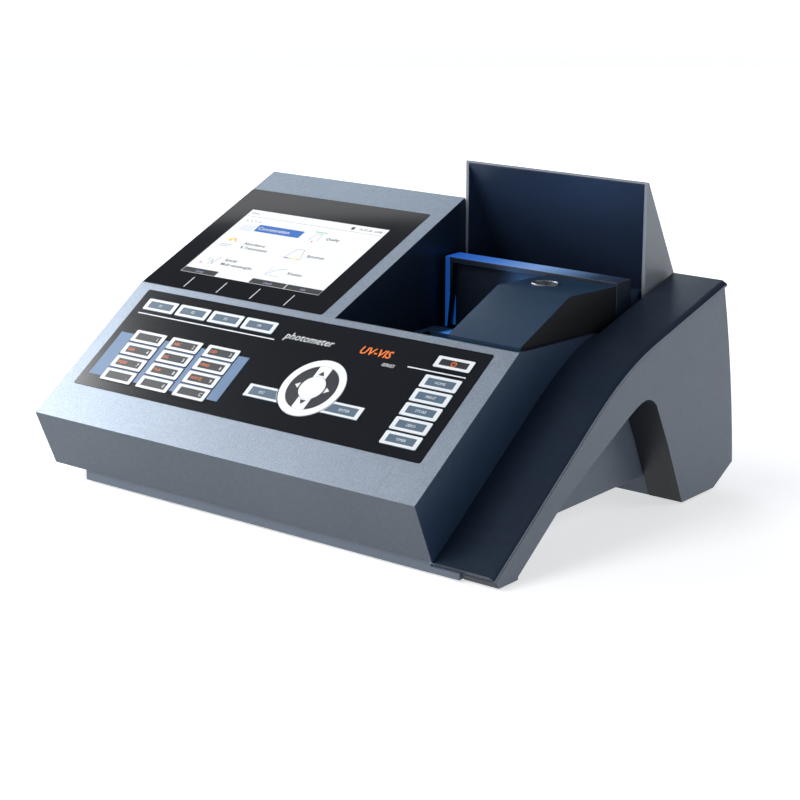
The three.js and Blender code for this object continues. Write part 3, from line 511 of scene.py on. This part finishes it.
# ---------------------------------------------------------------- carried-over CAD nodes
# How wide the rounding of a node's edges is, in millimetres.
EDGE_WIDTH = {
    "upper_housing": 0.6, "lower_housing": 0.5, "right_side_panel": 0.7, "cell_lid": 0.5,
    "cell_block": 1.2, "cell_collar": 0.5, "power_switch": 0.5, "cell_holder": 0.4,
    "compartment_floor": 0.3,
}
# These nodes have a finish of their own; the others have the one of their material slot.
NODE_MATERIAL = ("cell_lid", "cell_collar", "rear_panel", "right_side_panel")
SAME_PLACE = 0.00001


def round_edges(obj, width):
    """Merges flat facets into whole faces, rounds the edges between them and evens the shading."""
    weld = obj.modifiers.new("weld", "WELD")
    weld.merge_threshold = SAME_PLACE
    flat = obj.modifiers.new("whole_faces", "DECIMATE")
    flat.decimate_type = "DISSOLVE"
    flat.angle_limit = math.radians(0.5)
    bevel = obj.modifiers.new("rounded_edges", "BEVEL")
    bevel.width = width * MM
    bevel.segments = 3
    bevel.limit_method = "ANGLE"
    bevel.angle_limit = math.radians(28)
    bevel.miter_outer = "MITER_ARC"
    even = obj.modifiers.new("even_shading", "WEIGHTED_NORMAL")
    even.keep_sharp = True
    obj.data.shade_smooth()


def finish_cad_nodes():
    slots = {entry["node"]: entry["material_slot"] for entry in frame["record"]["subparts"]}
    for name, obj in NODES.items():
        obj.data.materials.clear()
        obj.data.materials.append(MATERIALS[name if name in NODE_MATERIAL else slots[name]])
        if name in EDGE_WIDTH:
            round_edges(obj, EDGE_WIDTH[name])
        else:
            obj.data.shade_smooth()
            obj.data.set_sharp_from_angle(angle=math.radians(30))


# ---------------------------------------------------------------- printed marks
# A printed mark is a sheet INK millimetres thick that starts SINK below the face.
INK = 0.05
SINK = 0.01
# Polygons whose normals and levels differ by less than this lie in one flat face.
SAME_NORMAL = 0.9999
SAME_LEVEL = 0.00003
LOOKS_ALONG = 0.4


class Face:
    """The largest flat face of a CAD node that looks along a direction, and its frame and size."""

    def __init__(self, node, direction=(0, 0, 1)):
        mesh = NODES[node].data
        planes = []
        for polygon in mesh.polygons:
            if polygon.normal.dot(Vector(direction)) < LOOKS_ALONG:
                continue
            for plane in planes:
                first = plane[0]
                gap = (polygon.center - first.center).dot(first.normal)
                if first.normal.dot(polygon.normal) > SAME_NORMAL and abs(gap) < SAME_LEVEL:
                    plane.append(polygon)
                    break
            else:
                planes.append([polygon])
        flat = max(planes, key=lambda polygons: sum(polygon.area for polygon in polygons))
        self.normal = max(flat, key=lambda polygon: polygon.area).normal.copy()
        self.right = Vector((0, 0, 1)).cross(self.normal).normalized()
        self.up = self.normal.cross(self.right)
        corners = [mesh.vertices[i].co for polygon in flat for i in polygon.vertices]
        across = [corner.dot(self.right) for corner in corners]
        along = [corner.dot(self.up) for corner in corners]
        level = corners[0].dot(self.normal)
        self.origin = self.right * min(across) + self.up * max(along) + self.normal * level
        self.width = (max(across) - min(across)) / MM
        self.height = (max(along) - min(along)) / MM

    def matrix(self):
        frame_matrix = Matrix((self.right, self.up, self.normal)).transposed().to_4x4()
        frame_matrix.translation = self.origin
        return frame_matrix

    def spot(self, point):
        """A point's distances to the right of the face's upper left corner and down from it."""
        away = Vector(point) - self.origin
        return away.dot(self.right) / MM, -away.dot(self.up) / MM


def rectangle(left, top, right, bottom, radius=0.0):
    """The outline of a rectangle, with rounded corners if a radius is given."""
    if not radius:
        return [(left, top), (right, top), (right, bottom), (left, bottom)]
    points = []
    for x, y, turn in ((right - radius, top + radius, -90), (right - radius, bottom - radius, 0),
                       (left + radius, bottom - radius, 90), (left + radius, top + radius, 180)):
        points += arc(x, y, radius, turn, turn + 90, 5)
    return points


def arc(x, y, radius, start, end, steps):
    """Points of an arc; angles are in degrees, clockwise from the right as the face is seen."""
    turns = [math.radians(start + (end - start) * i / steps) for i in range(steps + 1)]
    return [(x + radius * math.cos(turn), y + radius * math.sin(turn)) for turn in turns]


def line(points, width):
    """Outlines of the straight strokes of a line."""
    strokes = []
    for (x0, y0), (x1, y1) in zip(points, points[1:]):
        length = math.hypot(x1 - x0, y1 - y0)
        sx, sy = (y1 - y0) / length * width / 2, -(x1 - x0) / length * width / 2
        strokes.append([(x0 + sx, y0 + sy), (x1 + sx, y1 + sy),
                        (x1 - sx, y1 - sy), (x0 - sx, y0 - sy)])
    return strokes


class Marks:
    """Thin printed marks on one face.

    Places are in millimetres to the right of the face's upper left corner and down from it.
    """

    def __init__(self, face):
        self.face = face
        self.mesh = bmesh.new()
        self.inks = []

    def add(self, ink, curve, level, x=0.0, down=0.0):
        curve.extrude = INK / 2 * MM
        holder = bpy.data.objects.new("outline", curve)
        flat = bpy.data.meshes.new_from_object(holder)
        flat.transform(Matrix.Translation((x * MM, -down * MM, (level + INK / 2 - SINK) * MM)))
        if ink not in self.inks:
            self.inks.append(ink)
        known = len(self.mesh.faces)
        self.mesh.from_mesh(flat)
        self.mesh.faces.ensure_lookup_table()
        for face in self.mesh.faces[known:]:
            face.material_index = self.inks.index(ink)
            face.smooth = False
        bpy.data.objects.remove(holder)
        bpy.data.curves.remove(curve)
        bpy.data.meshes.remove(flat)

    def shape(self, ink, *loops, level=0.0):
        curve = bpy.data.curves.new("outline", "CURVE")
        curve.dimensions = "2D"
        curve.fill_mode = "BOTH"
        for loop in loops:
            spline = curve.splines.new("POLY")
            spline.points.add(len(loop) - 1)
            for point, (x, down) in zip(spline.points, loop):
                point.co = (x * MM, -down * MM, 0, 1)
            spline.use_cyclic_u = True
        self.add(ink, curve, level)

    def stroke(self, ink, points, width, level=0.0):
        for outline in line(points, width):
            self.shape(ink, outline, level=level)

    def text(self, ink, words, x, down, height, align="CENTER", level=0.0, slant=0.0, bold=0.0):
        """Words with capitals of the given height, centred on down; bold widens their strokes."""
        curve = bpy.data.curves.new("words", "FONT")
        curve.body = words
        curve.size = height / CAPITAL * MM
        curve.align_x = align
        curve.shear = slant
        curve.offset = bold * MM
        curve.resolution_u = 2
        curve.fill_mode = "BOTH"
        self.add(ink, curve, level, x, down + height / 2)

    def build(self, name, body, slot):
        mesh = bpy.data.meshes.new(name)
        self.mesh.to_mesh(mesh)
        self.mesh.free()
        for ink in self.inks:
            mesh.materials.append(MATERIALS[ink])
        mesh.transform(self.face.matrix())
        piece = add_object(name, mesh)
        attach(piece, body)
        return piece


# The height of a capital, as a share of the font's size.
CAPITAL = 0.7
# The white frame of a key runs from EDGE inside the key's outline to FIELD inside it.
EDGE = 0.12
FIELD = {"side": 3.7, "end": 2.4}
NUMBER_KEYS = [*"1234567890", "point", "clear"]
LETTERS = {
    "2": "ABC", "3": "DEF", "4": "GHI", "5": "JKL",
    "6": "MNO", "7": "PQRS", "8": "TUV", "9": "WXYZ",
}
COMMANDS = {"home": "HOME", "print": "PRINT", "store": "STORE", "zero": "ZERO", "timer": "TIMER"}


def framed_key(name):
    """Marks for a key, which start with the white frame round its field."""
    marks = Marks(Face(f"key_{name}"))
    width, height = marks.face.width, marks.face.height
    side, end = FIELD["side"], FIELD["end"]
    marks.shape("ink_white", rectangle(EDGE, EDGE, width - EDGE, height - EDGE, 1.1),
                rectangle(side, end, width - side, height - end, 0.4))
    return marks, width, height


def mark_function_and_command_keys():
    words = {f"f{i}": f"F{i}" for i in range(1, 5)} | COMMANDS
    for name, word in words.items():
        marks, width, height = framed_key(name)
        marks.text("ink_white", word, width / 2, height / 2, 2.5 if len(word) < 3 else 2.2)
        marks.build(f"key_{name}_print", f"key_{name}_body", "key_white")


def mark_number_keys():
    for name in NUMBER_KEYS:
        marks, width, height = framed_key(name)
        word = {"point": ".", "clear": "C"}.get(name, name)
        marks.text("ink_white", word, width - 6.4, height / 2, 3.2)
        if name in LETTERS:
            marks.text("ink_orange", LETTERS[name], FIELD["side"] + 1.2, height / 2, 2.6,
                       align="LEFT")
        marks.build(f"key_{name}_print", f"key_{name}_body", "key_white")


def mark_power_key():
    """An open ring with a bar in its gap."""
    marks, width, height = framed_key("power")
    x, down = width / 2, height / 2 + 0.2
    ring = arc(x, down, 2.3, -52, 232, 20) + arc(x, down, 1.6, 232, -52, 20)
    marks.shape("ink_orange", ring)
    marks.shape("ink_orange", rectangle(x - 0.35, down - 3, x + 0.35, down - 0.3))
    marks.build("key_power_print", "key_power_body", "key_white")


def mark_side_keys():
    """The two keys beside the ring: their frames are open towards it."""
    ring_low, ring_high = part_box("nav_ring")
    radius = (ring_high.x - ring_low.x) / MM / 2 + 0.85
    for name, word, side in (("escape", "ESC", -1), ("enter", "ENTER", 1)):
        marks = Marks(Face(f"key_{name}"))
        width, height = marks.face.width, marks.face.height
        x, down = marks.face.spot((ring_low + ring_high) / 2)
        outer_end, inner_end = EDGE, FIELD["side"]
        if side > 0:
            outer_end, inner_end = width - outer_end, width - inner_end

        def outline(end, top, bottom, reach):
            """Straight at the key's outer end, and an arc round the ring's centre at the other."""
            turns = [math.degrees(math.asin((level - down) / reach)) for level in (top, bottom)]
            if side < 0:
                turns = [180 - turn for turn in turns]
            return [(end, top), *arc(x, down, reach, *turns, 10), (end, bottom)]

        marks.shape("ink_white", outline(outer_end, EDGE, height - EDGE, radius),
                    outline(inner_end, 2, height - 2, radius + 0.3))
        marks.text("ink_white", word, (inner_end + x + side * radius) / 2, height / 2, 2.2)
        marks.build(f"key_{name}_print", f"key_{name}_body", "key_white")


def mark_direction_keys():
    """A triangle on each arrow key, with its point away from the hub."""
    hub_low, hub_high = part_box("nav_hub")
    centre = (hub_low + hub_high) / 2
    hub = (hub_high.x - hub_low.x) / MM / 2
    near, far, half = hub + 1.3, hub + 5.2, 2.7
    for name, ink, (ax, ay) in (("right", "ink_white", (1, 0)), ("left", "ink_white", (-1, 0)),
                                ("up", "ink_dark", (0, -1)), ("down", "ink_dark", (0, 1))):
        marks = Marks(Face(f"key_{name}"))
        x, down = marks.face.spot(centre)
        marks.shape(ink, [
            (x + ax * far, down + ay * far),
            (x + ax * near - ay * half, down + ay * near + ax * half),
            (x + ax * near + ay * half, down + ay * near - ax * half),
        ])
        marks.build(f"key_{name}_print", f"key_{name}_body", "key_white")


# The blue field round the number keys: its left, top, right and bottom on the overlay.
NUMBER_FIELD = (6.6, 44.1, 135.8, 87.1)
KEY_MARGIN = 0.45
RULES = ((7, 22.9, 144.4, 23.9), (266.3, 23.2, 315.8, 24.2))


def mark_overlay():
    """Blue strips between the number keys, and two rules and the words above the keys."""
    marks = Marks(Face("keypad_overlay"))
    keys = []
    for name in NUMBER_KEYS:
        key = Face(f"key_{name}")
        left, top = marks.face.spot(key.origin)
        keys.append((left, top, left + key.width, top + key.height))
    columns = sorted({round(key[0]): (key[0] - KEY_MARGIN, key[2] + KEY_MARGIN)
                      for key in keys}.values())
    rows = sorted({round(key[1]): (key[1] - KEY_MARGIN, key[3] + KEY_MARGIN)
                   for key in keys}.values())
    left, top, right, bottom = NUMBER_FIELD
    edges = [left, *(edge for column in columns for edge in column), right]
    for start, end in zip(edges[::2], edges[1::2]):
        marks.shape("strip_blue", rectangle(start, top, end, bottom))
    for start, end in columns:
        for (_, upper), (lower, _) in zip(rows, rows[1:]):
            marks.shape("strip_blue", rectangle(start, upper, end, lower))
    for rule in RULES:
        marks.shape("ink_white", rectangle(*rule, 0.5))
    marks.text("ink_white", "photometer", 151, 17, 6.4, align="LEFT", slant=0.2, bold=0.03)
    marks.text("ink_orange", "UV-VIS", 220, 17, 6.6, align="LEFT", slant=0.2, bold=0.2)
    marks.text("ink_white", "SERIES", 245, 26, 2.8, align="LEFT", slant=0.2)
    marks.build("keypad_print", "root", "overlay_black")


# The lines under the display that lead to the function keys.
LEADS = {"across": (40.7, 74.1, 107.7, 141.5), "top": 122.4, "bottom": 135.9, "width": 0.8}


def mark_bezel():
    marks = Marks(Face("display_bezel"))
    half = LEADS["width"] / 2
    for x in LEADS["across"]:
        marks.shape("ink_white", rectangle(x - half, LEADS["top"], x + half, LEADS["bottom"]))
    marks.build("display_print", "root", "glass_black")


# The measuring menu on the display: each word with its left end and its middle.
MENU_WORDS = (
    ("Absorbance", 28, 44.5), ("% Transmission", 28, 50), ("Special", 28, 68.3),
    ("Multi wavelengths", 28, 74), ("Quality", 94, 22.7), ("Spectrum", 94, 47.3),
    ("Kinetics", 94, 71.8),
)
SOFTKEY_TOP = 84.4


def mark_screen():
    """A generic measuring menu: a header, its choices with icons, and a row of softkeys."""
    marks = Marks(Face("lcd_screen"))
    width, height = marks.face.width, marks.face.height
    mark_header(marks, width)
    marks.shape("screen_blue", rectangle(23, 18.3, 69, 27.6, 0.6))
    marks.text("ink_white", "Concentration", 25, 22.9, 3.8, align="LEFT", level=INK, bold=0.06)
    for words, x, down in MENU_WORDS:
        marks.text("ink_dark", words, x, down, 3.1, align="LEFT", bold=0.06)
    mark_left_icons(marks)
    mark_right_icons(marks)
    for word, left, right in (("Setup", 0, 35.3), ("Check", 69.4, 104.6), ("Info", 104.6, width)):
        marks.shape("screen_black", rectangle(left + 0.4, SOFTKEY_TOP, right - 0.4, height - 0.5))
        marks.text("screen_pale", word, (left + right) / 2, (SOFTKEY_TOP + height) / 2, 2.4,
                   level=INK)
    marks.build("screen_menu", "root", "screen")


def mark_header(marks, width):
    """The screen's title, the date and a battery, over a line and four dots."""
    marks.text("ink_grey", "Home", 3, 4.6, 2.3, align="LEFT")
    marks.text("ink_dark", "01.01.26  12:00", width - 4, 4.6, 2.5, align="RIGHT", bold=0.03)
    marks.shape("screen_black", rectangle(width - 34, 3, width - 31, 6.4))
    marks.shape("screen_grey", rectangle(2, 8.9, width - 1, 9.2))
    for i in range(4):
        marks.shape("screen_grey", arc(7 + i * 4.4, 15.2, 0.8, 0, 330, 11))


def mark_left_icons(marks):
    """Three cells, a lamp's orbit over two lines, and two letters beside a curve."""
    for i in range(3):
        x = 9 + i * 4.4
        marks.stroke("screen_pale", [(x, 21), (x, 29)], 0.5)
        marks.stroke("screen_pale", [(x + 2.2, 21), (x + 2.2, 29)], 0.5)
    orbit = arc(15, 43.5, 3.2, 150, 390, 14) + arc(15, 43.5, 1.9, 390, 150, 14)
    marks.shape("screen_orange", orbit)
    marks.shape("screen_yellow", arc(11, 42.5, 1.7, 0, 330, 11))
    marks.shape("screen_grey", rectangle(7, 49, 18, 49.6))
    marks.shape("screen_grey", rectangle(7, 51.3, 16, 51.9))
    marks.text("screen_red", "A", 8.6, 76, 3.4)
    marks.text("screen_green", "B", 13, 70, 3)
    marks.stroke("screen_grey", [(16, 77), (17, 70), (19.5, 76.5), (22, 66)], 0.5)


def mark_right_icons(marks):
    """A flask, a peak over the colours of a spectrum, and a rising curve on two axes."""
    marks.shape("screen_green", rectangle(78, 15.6, 90, 16.8))
    marks.stroke("screen_pale", [(80, 28), (81, 18.5), (87, 18.5), (88, 28)], 0.5)
    marks.shape("screen_red", arc(84, 29, 0.9, 0, 330, 11))
    marks.stroke("screen_pale", [(76, 53), (80, 41), (87, 41), (91, 53)], 0.6)
    marks.shape("screen_violet", rectangle(75, 53.2, 80, 54.1))
    marks.shape("screen_green", rectangle(80, 53.2, 83.5, 54.1))
    marks.shape("screen_yellow", rectangle(83.5, 53.2, 87.5, 54.1))
    marks.shape("screen_orange", rectangle(87.5, 53.2, 91.5, 54.1))
    marks.stroke("screen_yellow", [(84, 52), (87.5, 43)], 0.5)
    marks.stroke("screen_pale", [(76, 77), (80, 72.5), (84, 69), (90, 67.6)], 0.6)
    marks.stroke("screen_pale", [(76, 67), (76, 78), (91, 78)], 0.4)


def mark_mains_rocker():
    """A bar on the rocker's face."""
    marks = Marks(Face("power_switch", (0, 1, 0)))
    x, down = marks.face.width / 2, marks.face.height / 2
    marks.shape("ink_white", rectangle(x - 0.3, down - 1.6, x + 0.3, down + 1.6))
    marks.build("mains_rocker_print", "mains_rocker", "key_white")


make_camera()
make_floor()
make_lights()
MATERIALS = make_materials()
mark_function_and_command_keys()
mark_number_keys()
mark_power_key()
mark_side_keys()
mark_direction_keys()
mark_overlay()
mark_bezel()
mark_screen()
mark_mains_rocker()
finish_cad_nodes()
